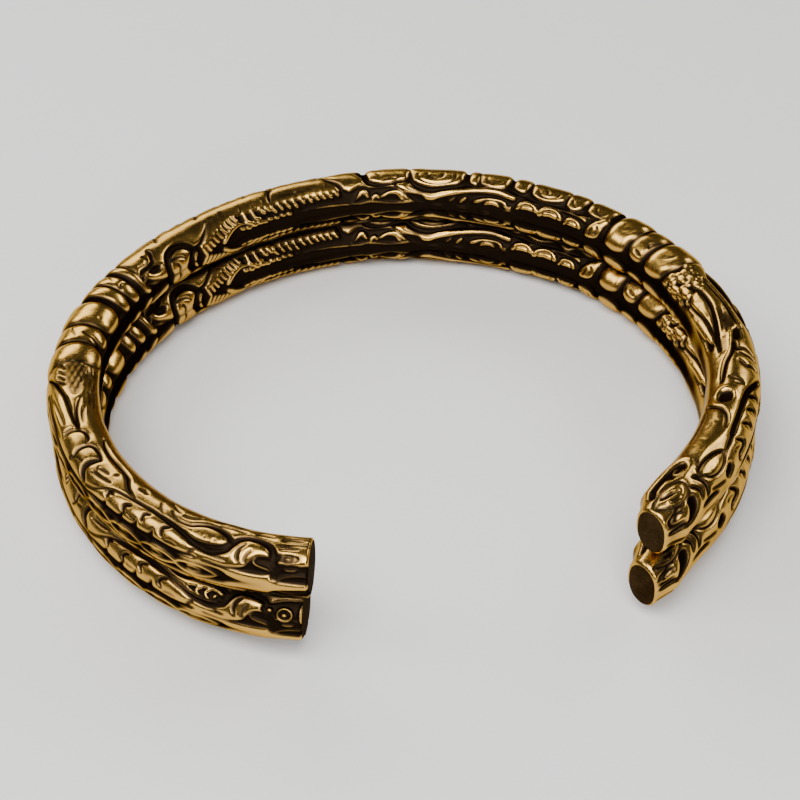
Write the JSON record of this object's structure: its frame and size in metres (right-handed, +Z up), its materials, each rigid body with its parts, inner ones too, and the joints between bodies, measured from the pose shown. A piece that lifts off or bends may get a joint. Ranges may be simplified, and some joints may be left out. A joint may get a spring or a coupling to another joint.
{
  "type": "arm ring",
  "caption": "Open C-shaped arm ring of paired cast rods, with raised beads, scrolls and dragons' heads at its flat-cut ends.",
  "frame": {"origin": "middle of the bounding box, on the surface that the ring lies on", "axes": "+Z up, along the wearer's wrist; the gap between the two ends faces -Y; +X to the right, towards the end whose lower rod stands out"},
  "size_m": [0.0698, 0.0652, 0.0132],
  "materials": {
    "brass": "antique cast brass, worn bright on the raised relief, with dark patina in its grooves"
  },
  "bodies": {
    "root": {"arm_ring": "brass"}
  },
  "joints": []
}
